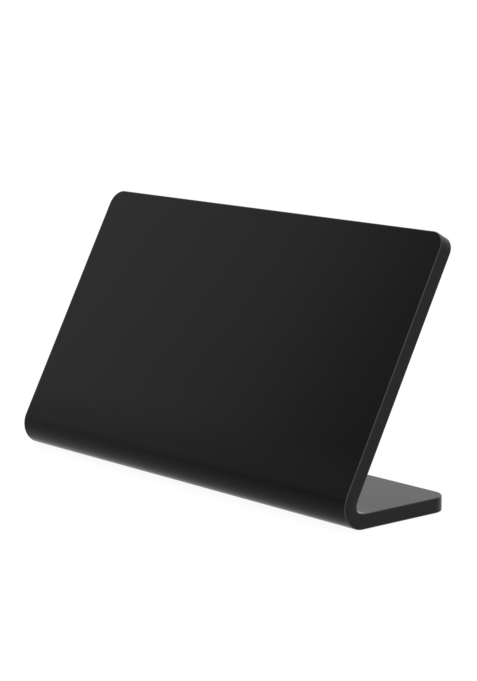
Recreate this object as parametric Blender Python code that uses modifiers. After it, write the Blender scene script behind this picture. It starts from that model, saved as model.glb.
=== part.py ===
"""Chalkboard place card: one sheet of black acrylic, heated along a line and bent.

The long side of the sheet becomes the leaning writing face and the short side becomes the foot.
Units are metres and +Z is up. The face looks towards -Y, the width runs along X, and the origin
lies on the table under the middle of the card.
"""
import math

import bmesh
import bpy
from mathutils import Matrix, Vector

# The sheet that the card is cut from
SHEET_WIDTH = 0.100
SHEET_THICKNESS = 0.003

# The flat lengths on each side of the bend, and the bend itself
FACE_FLAT = 0.0525
FOOT_FLAT = 0.0228
FACE_LEAN = math.radians(62.0)
BEND_INSIDE_RADIUS = 0.0016

# The rounded corners of the cut outline, and the fine flat that breaks its sharp edges
FACE_CORNER_RADIUS = 0.0032
FOOT_CORNER_RADIUS = 0.0038
ARRIS = 0.0002

# How finely the round stretches are drawn
BEND_STEPS = 24
CORNER_STEPS = 10
ARRIS_STEPS = 2

# Edges that turn by more than this are the sharp edges of the cut outline
SHARP_EDGE = math.radians(50.0)

# Black acrylic with a satin face
ACRYLIC_COLOR = (0.012, 0.012, 0.012, 1.0)
ACRYLIC_ROUGHNESS = 0.3

CARD_NAME = "chalkboard_place_card"
SHEET_NAME = "bent_sheet"


def clear_scene():
    """Remove every object, so that the card is built from an empty scene."""
    for thing in list(bpy.data.objects):
        bpy.data.objects.remove(thing, do_unlink=True)


def acrylic_material():
    """Solid black acrylic, coloured right through."""
    material = bpy.data.materials.new("black_acrylic")
    material.use_nodes = True
    shader = material.node_tree.nodes["Principled BSDF"]
    shader.inputs["Base Color"].default_value = ACRYLIC_COLOR
    shader.inputs["Roughness"].default_value = ACRYLIC_ROUGHNESS
    shader.inputs["Metallic"].default_value = 0.0
    return material


def lay_foot(bm):
    """Lay the underside of the foot on the table, from the bend's tangent line at y = 0 to its rear edge."""
    bmesh.ops.create_grid(bm, x_segments=1, y_segments=1, size=0.5)
    bmesh.ops.scale(bm, vec=(SHEET_WIDTH, FOOT_FLAT, 1.0), verts=bm.verts)
    bmesh.ops.translate(bm, vec=(0.0, FOOT_FLAT / 2, 0.0), verts=bm.verts)
    bm.edges.ensure_lookup_table()
    return min(bm.edges, key=lambda edge: sum(vert.co.y for vert in edge.verts))


def turn_bend(bm, foot_front):
    """Carry the foot's front edge round the bend, until the sheet leans at the angle of the face."""
    outside_radius = BEND_INSIDE_RADIUS + SHEET_THICKNESS
    turned = bmesh.ops.spin(
        bm,
        geom=[foot_front, *foot_front.verts],
        cent=(0.0, 0.0, outside_radius),
        axis=(1.0, 0.0, 0.0),
        angle=FACE_LEAN - math.pi,
        steps=BEND_STEPS,
    )
    return next(item for item in turned["geom_last"] if isinstance(item, bmesh.types.BMEdge))


def raise_face(bm, bend_end):
    """Draw the straight writing face up from the end of the bend, and return its top corners."""
    up_the_face = Matrix.Rotation(FACE_LEAN, 3, "X") @ Vector((0.0, FACE_FLAT, 0.0))
    drawn = bmesh.ops.extrude_edge_only(bm, edges=[bend_end])
    top_corners = [item for item in drawn["geom"] if isinstance(item, bmesh.types.BMVert)]
    bmesh.ops.translate(bm, vec=up_the_face, verts=top_corners)
    return top_corners


def round_corners(bm, corners, radius):
    """Round corners of the sheet's outline."""
    bmesh.ops.bevel(
        bm,
        geom=corners,
        offset=radius,
        offset_type="OFFSET",
        segments=CORNER_STEPS,
        profile=0.5,
        affect="VERTICES",
    )


def sheet_outside():
    """The sheet's outside surface: the underside of the foot, the outside of the bend and the front face."""
    bm = bmesh.new()
    foot_front = lay_foot(bm)
    rear_corners = [vert for vert in bm.verts if vert not in foot_front.verts]
    bend_end = turn_bend(bm, foot_front)
    top_corners = raise_face(bm, bend_end)
    round_corners(bm, rear_corners, FOOT_CORNER_RADIUS)
    round_corners(bm, top_corners, FACE_CORNER_RADIUS)
    bmesh.ops.recalc_face_normals(bm, faces=bm.faces)
    foot = min(bm.faces, key=lambda face: face.calc_center_median().z)
    if foot.normal.z > 0.0:
        bmesh.ops.reverse_faces(bm, faces=bm.faces)
    mesh = bpy.data.meshes.new(SHEET_NAME)
    bm.to_mesh(mesh)
    bm.free()
    return mesh


def bent_sheet(collection):
    """Give the outside surface the sheet's thickness, and break its cut edges."""
    mesh = sheet_outside()
    mesh.materials.append(acrylic_material())
    sheet = bpy.data.objects.new(SHEET_NAME, mesh)
    collection.objects.link(sheet)

    wall = sheet.modifiers.new("sheet thickness", "SOLIDIFY")
    wall.thickness = SHEET_THICKNESS
    wall.offset = -1.0
    wall.use_even_offset = True

    broken_edge = sheet.modifiers.new("arris", "BEVEL")
    broken_edge.width = ARRIS
    broken_edge.segments = ARRIS_STEPS
    broken_edge.limit_method = "ANGLE"
    broken_edge.angle_limit = SHARP_EDGE

    mesh.shade_smooth()
    mesh.set_sharp_from_angle(angle=SHARP_EDGE)
    return sheet


def centre_over_origin(thing):
    """Move a thing along Y, until the middle of its box lies over the origin."""
    bpy.context.view_layer.update()
    shape = thing.evaluated_get(bpy.context.evaluated_depsgraph_get())
    depths = [corner[1] for corner in shape.bound_box]
    thing.location.y = -(min(depths) + max(depths)) / 2


def main():
    clear_scene()
    card = bpy.data.collections.new(CARD_NAME)
    bpy.context.scene.collection.children.link(card)
    centre_over_origin(bent_sheet(card))


main()
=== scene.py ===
"""Looks of a chalkboard place card: one bent sheet of satin black acrylic, on a white studio floor.

The file is laid out as an add-on and is run as a script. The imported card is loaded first, and the
finished sheet is modelled in its place, with finer curves and with a finish for its faces, its cut
edges and the narrow arris between them. Units are metres, and lengths in millimetres are times MM.
"""
import math

import bmesh
import bpy
from bpy.props import FloatProperty, FloatVectorProperty, IntProperty, PointerProperty
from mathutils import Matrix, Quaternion, Vector


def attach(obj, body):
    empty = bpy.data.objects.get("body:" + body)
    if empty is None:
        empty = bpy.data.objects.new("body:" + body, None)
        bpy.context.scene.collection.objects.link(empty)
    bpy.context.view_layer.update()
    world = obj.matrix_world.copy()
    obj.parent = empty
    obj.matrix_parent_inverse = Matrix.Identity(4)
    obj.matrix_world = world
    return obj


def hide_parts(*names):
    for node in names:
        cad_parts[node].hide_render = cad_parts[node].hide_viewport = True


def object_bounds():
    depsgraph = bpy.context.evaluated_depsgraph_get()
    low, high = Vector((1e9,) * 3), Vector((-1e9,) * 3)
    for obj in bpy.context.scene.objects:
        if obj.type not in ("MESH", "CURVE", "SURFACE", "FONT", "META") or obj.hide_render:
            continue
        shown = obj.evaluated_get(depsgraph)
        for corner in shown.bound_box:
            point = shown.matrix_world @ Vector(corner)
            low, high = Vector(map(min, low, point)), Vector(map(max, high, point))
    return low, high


bl_info = {
    "name": "Chalkboard Place Card",
    "version": (1, 0, 0),
    "blender": (4, 5, 0),
    "location": "View3D > Sidebar > Place Card",
    "description": "Models a place card bent from black acrylic, and the stage that it stands on",
    "category": "Object",
}

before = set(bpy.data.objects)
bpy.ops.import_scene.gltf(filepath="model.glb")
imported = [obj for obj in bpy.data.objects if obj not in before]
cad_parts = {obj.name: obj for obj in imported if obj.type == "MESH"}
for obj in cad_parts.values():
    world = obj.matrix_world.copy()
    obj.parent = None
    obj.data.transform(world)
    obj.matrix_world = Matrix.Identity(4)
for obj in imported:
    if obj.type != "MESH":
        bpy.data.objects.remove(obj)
CAD_LOW, CAD_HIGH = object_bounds()

MM = 0.001
CAD_SHEET = "bent_sheet"
SHEET_NAME = "satin_black_sheet"

# The attribute that holds how far along the cut outline a point lies, and the vertex group that holds
# how much the sheet swells there.
EDGE_RUN = "edge_run"
SWELLING = "swelling"

# The sheet's material slots, after the first one for its faces.
EDGE_SLOT = 1
ARRIS_SLOT = 2

# Edges that turn by more than this are the sharp edges of the cut outline.
SHARP_EDGE = math.radians(50.0)

# Acrylic has an index of 1.49, and where it is polished its shine has the usual level of 0.5. Its satin
# faces and cut edges hold back most of a mirror image, so their level is lowered to what the card shows.
ACRYLIC_IOR = 1.49
POLISHED_SHINE = 0.5
CUT_SHINE = 0.18
SATIN_SHINE = 0.085

# Nearly all of a noise texture lies between these values.
NOISE_LOW = 0.25
NOISE_HIGH = 0.75

# The photograph's height in pixels, and the width of the camera's sensor, which spans that height.
FRAME_HEIGHT = 681
SENSOR_WIDTH = 36.0

WHITE = (1.0, 1.0, 1.0, 1.0)
FLOOR_SIZE = 40.0


def linear(hex_color):
    """Turn an sRGB hex colour into linear red, green, blue and alpha."""
    channels = [int(hex_color[place:place + 2], 16) / 255 for place in (1, 3, 5)]
    return (*[c / 12.92 if c <= 0.04045 else ((c + 0.055) / 1.055) ** 2.4 for c in channels], 1.0)


def length(name, description, default):
    """A length that the sidebar shows in the scene's units."""
    return FloatProperty(
        name=name, description=description, default=default, min=0.0, unit="LENGTH", precision=5
    )


def angle(name, description, degrees):
    """An angle that the sidebar shows in degrees."""
    return FloatProperty(
        name=name, description=description, default=math.radians(degrees), subtype="ANGLE"
    )


def color(name, description, hex_color):
    """A colour that the sidebar shows as a swatch."""
    return FloatVectorProperty(
        name=name,
        description=description,
        default=linear(hex_color),
        size=4,
        min=0.0,
        max=1.0,
        subtype="COLOR",
    )


def factor(name, description, default):
    """A number from 0 to 1 that the sidebar shows as a slider."""
    return FloatProperty(
        name=name, description=description, default=default, min=0.0, max=1.0, subtype="FACTOR", precision=3
    )


def power(name, description, watts):
    """The power of a lamp, in watts."""
    return FloatProperty(name=name, description=description, default=watts, min=0.0, unit="POWER")


def steps(name, description, default):
    """A number of steps round a curve."""
    return IntProperty(name=name, description=description, default=default, min=1)


class SheetSizes(bpy.types.PropertyGroup):
    """Sizes of the bent sheet. Apart from the swelling inside the bend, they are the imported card's."""

    width: length("Width", "Width of the sheet, across the face", CAD_HIGH.x - CAD_LOW.x)
    thickness: length("Thickness", "Thickness of the sheet", 3.0 * MM)
    face_flat: length("Face", "Flat length of the writing face, above the bend", 52.5 * MM)
    foot_flat: length("Foot", "Flat length of the foot, behind the bend", 22.8 * MM)
    face_lean: angle("Lean", "Angle of the writing face above the table", 62.0)
    bend_inside: length("Bend radius", "Inside radius of the bend", 1.6 * MM)
    face_corner: length("Face corners", "Radius of the face's top corners", 3.2 * MM)
    foot_corner: length("Foot corners", "Radius of the foot's rear corners", 3.8 * MM)
    swell: length("Swelling", "Height of the two swellings inside the bend", 0.12 * MM)
    swell_reach: length("Swelling reach", "Distance from the middle of the bend to each swelling", 1.25 * MM)
    arris: length("Arris", "Width of the rounded arris on the cut edges", 0.2 * MM)
    bend_steps: steps("Bend steps", "Steps round the bend", 64)
    swell_steps: steps("Swelling steps", "Steps from the bend to the end of each swelling", 12)
    corner_steps: steps("Corner steps", "Steps round each corner", 24)
    arris_steps: steps("Arris steps", "Steps round the arris", 4)


class SheetFinish(bpy.types.PropertyGroup):
    """Colour and gloss of the acrylic."""

    acrylic: color("Acrylic", "Colour of the black acrylic, right through the sheet", "#060606")
    face_roughness: factor("Face roughness", "Roughness of the satin faces", 0.21)
    bend_roughness: factor("Bend roughness", "Roughness inside the bend", 0.06)
    front_roughness: factor("Front roughness", "Roughness along the front of the bend", 0.38)
    edge_roughness: factor("Edge roughness", "Roughness of the cut edges", 0.28)
    arris_roughness: factor("Arris roughness", "Roughness of the arris", 0.13)


class StageSettings(bpy.types.PropertyGroup):
    """Floor, light and camera."""

    floor: color("Floor", "Colour of the paper floor", "#FAFAFA")
    floor_white: factor("Floor white", "Share of the floor that shows as plain white, over its shadow", 0.93)
    far_wall: color("Far side", "Light from the walls behind the card", "#FFFFFF")
    near_wall: color("Near side", "Light from high on the walls in front of the card", "#CCCCCC")
    near_base: color("Near base", "Light from low on the walls in front of the card", "#666666")
    overhead: FloatProperty(
        name="Overhead", description="Strength of the soft overhead light", default=1.7, min=0.0
    )
    key: power("Key", "Power of the softbox beside the camera", 1.32)
    left_strip: power("Left strip", "Power of the dim strip at the left", 0.18)
    camera_turn: angle("Turn", "Angle of the camera round the card, from straight in front", 49.304)
    camera_rise: angle("Rise", "Angle of the camera above the table", 9.782)
    camera_away: length("Distance", "Distance from the camera to the point that it looks at", 462.73 * MM)
    camera_focal: FloatProperty(
        name="Focal length",
        description="Focal length, in pixels of the photograph's frame",
        default=2281.0,
        min=1.0,
        subtype="PIXEL",
    )
    camera_aim: FloatVectorProperty(
        name="Aim",
        description="Point that the camera looks at",
        default=(-3.27 * MM, 6.52 * MM, 26.44 * MM),
        subtype="XYZ",
        unit="LENGTH",
    )


def add_node(tree, kind, inputs=None, **settings):
    """Add a node with its settings, and fill its inputs with values or with other nodes' outputs."""
    node = tree.nodes.new(kind)
    for name, value in settings.items():
        setattr(node, name, value)
    for name, value in (inputs or {}).items():
        if isinstance(value, bpy.types.NodeSocket):
            tree.links.new(value, node.inputs[name])
        else:
            node.inputs[name].default_value = value
    return node


def new_material(name):
    """A material with an empty node tree, and that tree."""
    material = bpy.data.materials.new(name)
    material.use_nodes = True
    material.node_tree.nodes.clear()
    return material, material.node_tree


def satin_face(finish, sizes, bend_line):
    """Cast acrylic with a satin chalkboard face: a soft, even sheen over black, with a fine tooth."""
    material, tree = new_material("satin_black_acrylic")
    place = add_node(tree, "ShaderNodeTexCoord").outputs["Object"]

    # The tooth that holds the chalk is really about 0.05 mm. It is drawn at 0.4 mm so that it shows at all.
    tooth_size = 0.4 * MM
    tooth_depth = 0.0015 * MM
    tooth = add_node(
        tree,
        "ShaderNodeTexNoise",
        {"Vector": place, "Scale": 1 / tooth_size, "Detail": 2.0, "Roughness": 0.6},
    )

    # Wiping with a cloth leaves a faint haze, drawn out along the width of the card.
    haze_size = 22.0 * MM
    haze_squeeze = 0.35
    haze_roughness = 0.02
    wiped = add_node(tree, "ShaderNodeMapping", {"Vector": place, "Scale": (haze_squeeze, 1.0, 1.0)})
    haze = add_node(
        tree,
        "ShaderNodeTexNoise",
        {"Vector": wiped.outputs["Vector"], "Scale": 1 / haze_size, "Detail": 3.0, "Roughness": 0.55},
    )
    hazy = add_node(
        tree,
        "ShaderNodeMapRange",
        {
            "Value": haze.outputs["Fac"],
            "From Min": NOISE_LOW,
            "From Max": NOISE_HIGH,
            "To Min": -haze_roughness,
            "To Max": haze_roughness,
        },
    )

    # The heater that softened the sheet left the inside of the bend glossier. That fades into the flat
    # sheet with the distance from the axis of the bend.
    outside = sizes.bend_inside + sizes.thickness
    from_axis = add_node(
        tree,
        "ShaderNodeMapping",
        {"Vector": place, "Location": (0.0, -bend_line, -outside), "Scale": (0.0, 1.0, 1.0)},
    ).outputs["Vector"]
    distance = add_node(tree, "ShaderNodeVectorMath", {0: from_axis}, operation="LENGTH")
    gloss = add_node(
        tree,
        "ShaderNodeMapRange",
        {
            "Value": distance.outputs["Value"],
            "From Min": sizes.bend_inside,
            "From Max": outside,
            "To Min": finish.bend_roughness,
            "To Max": finish.face_roughness,
        },
    )

    # The heater left the front of the bend duller, in a strip that fades down round the bend and up the
    # face. Its middle faces upwards a little, and its edges are set as shares of the outside radius.
    strip_rise = math.radians(20.0)
    strip_edge = 0.717
    strip_core = 0.957
    strip_front = (0.0, -math.cos(strip_rise), math.sin(strip_rise))
    frontwards = add_node(
        tree, "ShaderNodeVectorMath", {0: from_axis, 1: strip_front}, operation="DOT_PRODUCT"
    )
    dulled = add_node(
        tree,
        "ShaderNodeMapRange",
        {
            "Value": frontwards.outputs["Value"],
            "From Min": outside * strip_edge,
            "From Max": outside * strip_core,
            "To Min": 0.0,
            "To Max": finish.front_roughness - finish.face_roughness,
        },
        interpolation_type="SMOOTHSTEP",
    )

    satin = add_node(
        tree, "ShaderNodeMath", {0: gloss.outputs["Result"], 1: dulled.outputs["Result"]}, operation="ADD"
    )
    roughness = add_node(
        tree, "ShaderNodeMath", {0: satin.outputs["Value"], 1: hazy.outputs["Result"]}, operation="ADD"
    )
    bump = add_node(
        tree, "ShaderNodeBump", {"Height": tooth.outputs["Fac"], "Strength": 1.0, "Distance": tooth_depth}
    )
    shader = add_node(
        tree,
        "ShaderNodeBsdfPrincipled",
        {
            "Base Color": finish.acrylic,
            "Roughness": roughness.outputs["Value"],
            "IOR": ACRYLIC_IOR,
            "Specular IOR Level": SATIN_SHINE,
            "Normal": bump.outputs["Normal"],
        },
    )
    add_node(tree, "ShaderNodeOutputMaterial", {"Surface": shader.outputs["BSDF"]})
    return material


def cut_edge(finish):
    """Laser-cut acrylic edge: smooth and dark, with faint lines across the sheet where the beam passed."""
    material, tree = new_material("laser_cut_acrylic_edge")
    # The beam's lines really lie about 0.1 mm apart. They are drawn 0.5 mm apart so that they show at all.
    line_pitch = 0.5 * MM
    line_depth = 0.002 * MM
    line_roughness = 0.03
    run = add_node(tree, "ShaderNodeAttribute", attribute_name=EDGE_RUN).outputs["Fac"]
    lines = add_node(
        tree,
        "ShaderNodeTexNoise",
        {"W": run, "Scale": 1 / line_pitch, "Detail": 2.0, "Roughness": 0.5},
        noise_dimensions="1D",
    ).outputs["Fac"]
    roughness = add_node(
        tree,
        "ShaderNodeMapRange",
        {
            "Value": lines,
            "From Min": NOISE_LOW,
            "From Max": NOISE_HIGH,
            "To Min": finish.edge_roughness - line_roughness,
            "To Max": finish.edge_roughness + line_roughness,
        },
    )
    bump = add_node(tree, "ShaderNodeBump", {"Height": lines, "Strength": 1.0, "Distance": line_depth})
    shader = add_node(
        tree,
        "ShaderNodeBsdfPrincipled",
        {
            "Base Color": finish.acrylic,
            "Roughness": roughness.outputs["Result"],
            "IOR": ACRYLIC_IOR,
            "Specular IOR Level": CUT_SHINE,
            "Normal": bump.outputs["Normal"],
        },
    )
    add_node(tree, "ShaderNodeOutputMaterial", {"Surface": shader.outputs["BSDF"]})
    return material


def buffed_arris(finish):
    """The broken edge of the acrylic, buffed by handling: it catches a thin, bright line of light."""
    material, tree = new_material("buffed_acrylic_arris")
    # Handling wears the arris unevenly, over lengths of a few millimetres.
    wear_size = 4.0 * MM
    wear_roughness = 0.03
    place = add_node(tree, "ShaderNodeTexCoord").outputs["Object"]
    wear = add_node(tree, "ShaderNodeTexNoise", {"Vector": place, "Scale": 1 / wear_size, "Detail": 3.0})
    roughness = add_node(
        tree,
        "ShaderNodeMapRange",
        {
            "Value": wear.outputs["Fac"],
            "From Min": NOISE_LOW,
            "From Max": NOISE_HIGH,
            "To Min": finish.arris_roughness - wear_roughness,
            "To Max": finish.arris_roughness + wear_roughness,
        },
    )
    shader = add_node(
        tree,
        "ShaderNodeBsdfPrincipled",
        {
            "Base Color": finish.acrylic,
            "Roughness": roughness.outputs["Result"],
            "IOR": ACRYLIC_IOR,
            "Specular IOR Level": POLISHED_SHINE,
        },
    )
    add_node(tree, "ShaderNodeOutputMaterial", {"Surface": shader.outputs["BSDF"]})
    return material


def select_only(piece, kind, test):
    """In edit mode, select the points or edges of a piece that pass a test, and nothing else."""
    bpy.ops.mesh.select_mode(type=kind)
    bpy.ops.mesh.select_all(action="DESELECT")
    shape = bmesh.from_edit_mesh(piece.data)
    for part in shape.verts if kind == "VERT" else shape.edges:
        part.select_set(test(part))
    bmesh.update_edit_mesh(piece.data)


def swell_run(sizes):
    """How far each swelling runs out of the bend, into the flat sheet beside it."""
    half_bend = sizes.bend_inside * (math.pi - sizes.face_lean) / 2
    return 2 * sizes.swell_reach - half_bend


def lay_foot(sizes, bend_line):
    """Add the underside of the foot as a plane on the table, behind the swelling."""
    plane_length = sizes.foot_flat - swell_run(sizes)
    plane_middle = bend_line + swell_run(sizes) + plane_length / 2
    bpy.ops.object.select_all(action="DESELECT")
    bpy.ops.mesh.primitive_plane_add(size=1.0, location=(0.0, plane_middle, 0.0))
    sheet = bpy.context.object
    sheet.name = SHEET_NAME
    sheet.data.name = SHEET_NAME
    sheet.scale = (sizes.width, plane_length, 1.0)
    bpy.ops.object.transform_apply(location=True, rotation=True, scale=True)
    return sheet


def bend_and_draw_face(sheet, sizes, bend_line, foot_middle):
    """Draw the foot's front edge up to the bend, spin it round, then draw it up as the writing face."""
    swell_step = swell_run(sizes) / sizes.swell_steps
    forwards = Vector((0.0, -1.0, 0.0))
    up_the_face = Vector((0.0, math.cos(sizes.face_lean), math.sin(sizes.face_lean)))
    rest_of_face = up_the_face * (sizes.face_flat - swell_run(sizes))
    select_only(sheet, "EDGE", lambda edge: all(vert.co.y < foot_middle for vert in edge.verts))
    for _ in range(sizes.swell_steps):
        bpy.ops.mesh.extrude_region_move(TRANSFORM_OT_translate={"value": forwards * swell_step})
    bpy.ops.mesh.spin(
        steps=sizes.bend_steps,
        angle=math.pi - sizes.face_lean,
        center=(0.0, bend_line, sizes.bend_inside + sizes.thickness),
        axis=(1.0, 0.0, 0.0),
    )
    for _ in range(sizes.swell_steps):
        bpy.ops.mesh.extrude_region_move(TRANSFORM_OT_translate={"value": up_the_face * swell_step})
    bpy.ops.mesh.extrude_region_move(TRANSFORM_OT_translate={"value": rest_of_face})


def round_corners(sheet, sizes, foot_middle):
    """Round the foot's two rear corners and the face's two top corners."""
    face_middle = math.sin(sizes.face_lean) * sizes.face_flat / 2
    corners = (
        (sizes.foot_corner, lambda vert: vert.co.y > foot_middle and vert.co.z < sizes.thickness),
        (sizes.face_corner, lambda vert: vert.co.z > face_middle),
    )
    for radius, test in corners:
        select_only(sheet, "VERT", test)
        bpy.ops.mesh.bevel(offset=radius, segments=sizes.corner_steps, profile=0.5, affect="VERTICES")


def face_outwards(sheet):
    """Turn the sheet's one surface so that the foot's underside faces down."""
    bpy.ops.mesh.select_all(action="SELECT")
    bpy.ops.mesh.normals_make_consistent(inside=False)
    shape = bmesh.from_edit_mesh(sheet.data)
    foot = min(shape.faces, key=lambda face: face.calc_center_median().z)
    if foot.normal.z > 0.0:
        bpy.ops.mesh.flip_normals()


def mark_swelling(sheet, sizes, bend_line):
    """Store how much the sheet swells at each point, from 0 to 1."""
    # Bending squeezed the soft sheet, so it swells a little inside the bend, on both sides of its middle.
    # Each swelling is a smooth hump from the middle to twice the reach, with its crest at the reach.
    turn = math.pi - sizes.face_lean
    axis_height = sizes.bend_inside + sizes.thickness
    up_y, up_z = math.cos(sizes.face_lean), math.sin(sizes.face_lean)
    swelling = sheet.vertex_groups.new(name=SWELLING)
    for point in sheet.data.vertices:
        back, rise = point.co.y - bend_line, point.co.z - axis_height
        into_flat = max(back, back * up_y + rise * up_z)
        if into_flat > 0.0:
            from_middle = sizes.bend_inside * turn / 2 + into_flat
        else:
            from_middle = sizes.bend_inside * abs(math.atan2(-back, -rise) - turn / 2)
        from_crest = (from_middle - sizes.swell_reach) / sizes.swell_reach
        swelling.add([point.index], max(0.0, 1.0 - from_crest ** 2) ** 2, "REPLACE")


def thicken_and_break_edges(sheet, sizes):
    """Give the surface its thickness, round its arrises, and keep the flat faces flat in the light."""
    wall = sheet.modifiers.new("thickness", "SOLIDIFY")
    wall.thickness = sizes.thickness + sizes.swell
    wall.vertex_group = SWELLING
    wall.thickness_vertex_group = sizes.thickness / wall.thickness
    wall.offset = -1.0
    wall.use_even_offset = True
    wall.material_offset_rim = EDGE_SLOT
    arris = sheet.modifiers.new("arris", "BEVEL")
    arris.width = sizes.arris
    arris.segments = sizes.arris_steps
    arris.limit_method = "ANGLE"
    arris.angle_limit = SHARP_EDGE
    arris.material = ARRIS_SLOT
    even = sheet.modifiers.new("flat faces", "WEIGHTED_NORMAL")
    even.weight = 100
    bpy.ops.object.shade_smooth()
    for modifier in list(sheet.modifiers):
        bpy.ops.object.modifier_apply(modifier=modifier.name)
    sheet.vertex_groups.clear()


def mark_edge_run(sheet, sizes, bend_line):
    """Store at each point how far it lies along the cut outline, for patterns that follow the edge."""
    turn = math.pi - sizes.face_lean
    axis_height = sizes.bend_inside + sizes.thickness
    bend_length = turn * (sizes.bend_inside + sizes.thickness / 2)
    up_y, up_z = math.cos(sizes.face_lean), math.sin(sizes.face_lean)
    middle = (bend_length + sizes.face_flat - sizes.foot_flat) / 2
    run = sheet.data.attributes.new(EDGE_RUN, "FLOAT", "POINT")
    for point, stored in zip(sheet.data.vertices, run.data):
        back, rise = point.co.y - bend_line, point.co.z - axis_height
        up_face = back * up_y + rise * up_z
        if rise < 0.0 and back > 0.0:
            along = -back
        elif up_face > 0.0 and back * up_z < rise * up_y:
            along = bend_length + up_face
        else:
            along = bend_length * math.atan2(-back, -rise) / turn
        stored.value = abs(along - middle) - abs(point.co.x)


class PLACECARD_OT_bent_sheet(bpy.types.Operator):
    """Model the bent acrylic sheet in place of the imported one"""

    bl_idname = "placecard.bent_sheet"
    bl_label = "Bent Sheet"

    def execute(self, context):
        sizes = context.scene.place_card_sizes
        finish = context.scene.place_card_finish
        bend_line = CAD_LOW.y + sizes.bend_inside + sizes.thickness
        foot_middle = bend_line + sizes.foot_flat / 2
        sheet = lay_foot(sizes, bend_line)
        bpy.ops.object.mode_set(mode="EDIT")
        bend_and_draw_face(sheet, sizes, bend_line, foot_middle)
        round_corners(sheet, sizes, foot_middle)
        face_outwards(sheet)
        bpy.ops.object.mode_set(mode="OBJECT")
        for material in (satin_face(finish, sizes, bend_line), cut_edge(finish), buffed_arris(finish)):
            sheet.data.materials.append(material)
        mark_swelling(sheet, sizes, bend_line)
        thicken_and_break_edges(sheet, sizes)
        mark_edge_run(sheet, sizes, bend_line)
        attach(sheet, "root")
        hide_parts(CAD_SHEET)
        return {"FINISHED"}


def direction(turn, rise):
    """The direction from the card at an angle round it, from straight in front, and an angle upwards."""
    return Vector((math.sin(turn) * math.cos(rise), -math.cos(turn) * math.cos(rise), math.sin(rise)))


def place_facing(thing, aim, towards, distance, roll=0.0):
    """Place a camera or a lamp at a distance from a point, looking back at it, and roll it."""
    thing.location = aim + towards * distance
    thing.rotation_mode = "QUATERNION"
    thing.rotation_quaternion = (-towards).to_track_quat("-Z", "Y") @ Quaternion((0.0, 0.0, 1.0), roll)


def white_paper(settings):
    """Seamless white paper: matt and even, with no sheen."""
    material, tree = new_material("seamless_white_paper")
    fibre_size = 1.2 * MM
    fibre_depth = 0.002 * MM
    place = add_node(tree, "ShaderNodeTexCoord").outputs["Object"]
    fibre = add_node(tree, "ShaderNodeTexNoise", {"Vector": place, "Scale": 1 / fibre_size, "Detail": 2.0})
    bump = add_node(
        tree, "ShaderNodeBump", {"Height": fibre.outputs["Fac"], "Strength": 1.0, "Distance": fibre_depth}
    )
    paper = add_node(
        tree, "ShaderNodeBsdfDiffuse", {"Color": settings.floor, "Normal": bump.outputs["Normal"]}
    )
    # The camera and mirror images see nearly plain white, with enough of the paper to keep the shadow.
    white = add_node(tree, "ShaderNodeEmission", {"Color": WHITE, "Strength": 1.0})
    ray = add_node(tree, "ShaderNodeLightPath").outputs
    seen = add_node(
        tree, "ShaderNodeMath", {0: ray["Is Camera Ray"], 1: ray["Is Glossy Ray"]}, operation="MAXIMUM"
    )
    shown = add_node(
        tree, "ShaderNodeMath", {0: seen.outputs["Value"], 1: ray["Is Transmission Ray"]}, operation="MAXIMUM"
    )
    share = add_node(
        tree, "ShaderNodeMath", {0: shown.outputs["Value"], 1: settings.floor_white}, operation="MULTIPLY"
    )
    surface = add_node(
        tree,
        "ShaderNodeMixShader",
        {0: share.outputs["Value"], 1: paper.outputs["BSDF"], 2: white.outputs["Emission"]},
    )
    add_node(tree, "ShaderNodeOutputMaterial", {"Surface": surface.outputs["Shader"]})
    return material


def paper_floor(settings):
    """A wide floor of white paper, which isn't part of the card."""
    bpy.ops.object.select_all(action="DESELECT")
    bpy.ops.mesh.primitive_plane_add(size=FLOOR_SIZE)
    floor = bpy.context.object
    floor.name = "paper_floor"
    floor.data.materials.append(white_paper(settings))


def studio_walls(settings):
    """A studio that is white behind the card, and in front of it dim towards the floor."""
    world = bpy.data.worlds.new("studio_walls")
    world.use_nodes = True
    tree = world.node_tree
    tree.nodes.clear()
    # Where the walls fade, as shares of a view's direction: upwards in front, and backwards at the sides.
    base_end = 0.55
    far_start = 0.05
    far_end = 0.5
    look = add_node(tree, "ShaderNodeTexCoord").outputs["Generated"]
    towards = add_node(tree, "ShaderNodeSeparateXYZ", {"Vector": look}).outputs
    high = add_node(
        tree,
        "ShaderNodeMapRange",
        {"Value": towards["Z"], "From Min": 0.0, "From Max": base_end},
        interpolation_type="SMOOTHSTEP",
    )
    behind = add_node(
        tree,
        "ShaderNodeMapRange",
        {"Value": towards["Y"], "From Min": far_start, "From Max": far_end},
        interpolation_type="SMOOTHSTEP",
    )
    near = add_node(
        tree,
        "ShaderNodeMix",
        {"Factor": high.outputs["Result"], "A": settings.near_base, "B": settings.near_wall},
        data_type="RGBA",
    )
    walls = add_node(
        tree,
        "ShaderNodeMix",
        {"Factor": behind.outputs["Result"], "A": near.outputs["Result"], "B": settings.far_wall},
        data_type="RGBA",
    )
    light = add_node(tree, "ShaderNodeBackground", {"Color": walls.outputs["Result"], "Strength": 1.0})
    add_node(tree, "ShaderNodeOutputWorld", {"Surface": light.outputs["Background"]})
    bpy.context.scene.world = world


def add_lamp(name, kind, energy, aim, towards, distance, roll=0.0, **settings):
    """Add a lamp that the camera doesn't see, facing a point."""
    light = bpy.data.lights.new(name, kind)
    light.energy = energy
    for setting, value in settings.items():
        setattr(light, setting, value)
    lamp = bpy.data.objects.new(name, light)
    lamp.visible_camera = False
    bpy.context.scene.collection.objects.link(lamp)
    place_facing(lamp, aim, towards, distance, roll)


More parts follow.
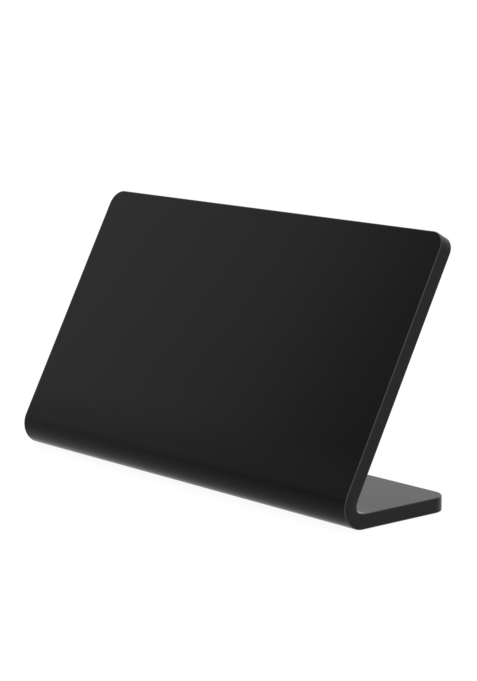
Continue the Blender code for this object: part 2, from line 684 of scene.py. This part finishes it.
def studio_lamps(settings, card_middle):
    """A wide soft light overhead, a softbox for the line on the arris, and a dim strip for the face."""
    overhead = direction(0.0, math.radians(90.0))
    add_lamp(
        "overhead",
        "SUN",
        settings.overhead,
        card_middle,
        overhead,
        distance=1000.0 * MM,
        angle=math.radians(90.0),
    )
    beside_camera = direction(math.radians(47.7), math.radians(20.0))
    add_lamp(
        "key_softbox",
        "AREA",
        settings.key,
        card_middle,
        beside_camera,
        distance=600.0 * MM,
        shape="RECTANGLE",
        size=300.0 * MM,
        size_y=440.0 * MM,
    )
    at_left = direction(math.radians(-90.0), math.radians(20.0))
    in_front_of_card = Vector((0.0, -141.0, 33.0)) * MM
    add_lamp(
        "left_strip",
        "AREA",
        settings.left_strip,
        in_front_of_card,
        at_left,
        distance=287.0 * MM,
        roll=math.radians(28.0),
        shape="RECTANGLE",
        size=180.0 * MM,
        size_y=310.0 * MM,
    )


def photo_camera(settings):
    """The camera at the photograph's viewing angle."""
    lens = bpy.data.cameras.new("photo_camera")
    lens.sensor_width = SENSOR_WIDTH
    lens.lens = settings.camera_focal * SENSOR_WIDTH / FRAME_HEIGHT
    camera = bpy.data.objects.new("photo_camera", lens)
    bpy.context.scene.collection.objects.link(camera)
    towards = direction(settings.camera_turn, settings.camera_rise)
    place_facing(camera, Vector(settings.camera_aim), towards, settings.camera_away)
    bpy.context.scene.camera = camera


class PLACECARD_OT_stage(bpy.types.Operator):
    """Set the white paper floor, the soft light and the camera"""

    bl_idname = "placecard.stage"
    bl_label = "Stage"

    def execute(self, context):
        settings = context.scene.place_card_stage
        card_middle = (CAD_LOW + CAD_HIGH) / 2
        paper_floor(settings)
        studio_walls(settings)
        studio_lamps(settings, card_middle)
        photo_camera(settings)
        context.scene.view_settings.view_transform = "Standard"
        return {"FINISHED"}


class PLACECARD_PT_panel(bpy.types.Panel):
    """Sidebar panel with the card's settings and operators"""

    bl_idname = "PLACECARD_PT_panel"
    bl_label = "Chalkboard Place Card"
    bl_space_type = "VIEW_3D"
    bl_region_type = "UI"
    bl_category = "Place Card"

    def draw(self, context):
        scene = context.scene
        self.list_settings(scene.place_card_sizes)
        self.list_settings(scene.place_card_finish)
        self.layout.operator(PLACECARD_OT_bent_sheet.bl_idname)
        self.list_settings(scene.place_card_stage)
        self.layout.operator(PLACECARD_OT_stage.bl_idname)

    def list_settings(self, settings):
        """Show every setting of a group, one below the other."""
        for name in settings.__annotations__:
            self.layout.prop(settings, name)


CLASSES = (
    SheetSizes,
    SheetFinish,
    StageSettings,
    PLACECARD_OT_bent_sheet,
    PLACECARD_OT_stage,
    PLACECARD_PT_panel,
)


def register():
    for kind in CLASSES:
        bpy.utils.register_class(kind)
    bpy.types.Scene.place_card_sizes = PointerProperty(type=SheetSizes)
    bpy.types.Scene.place_card_finish = PointerProperty(type=SheetFinish)
    bpy.types.Scene.place_card_stage = PointerProperty(type=StageSettings)


def unregister():
    del bpy.types.Scene.place_card_stage
    del bpy.types.Scene.place_card_finish
    del bpy.types.Scene.place_card_sizes
    for kind in reversed(CLASSES):
        bpy.utils.unregister_class(kind)


def main():
    register()
    bpy.ops.placecard.bent_sheet()
    bpy.ops.placecard.stage()


if __name__ == "__main__":
    main()
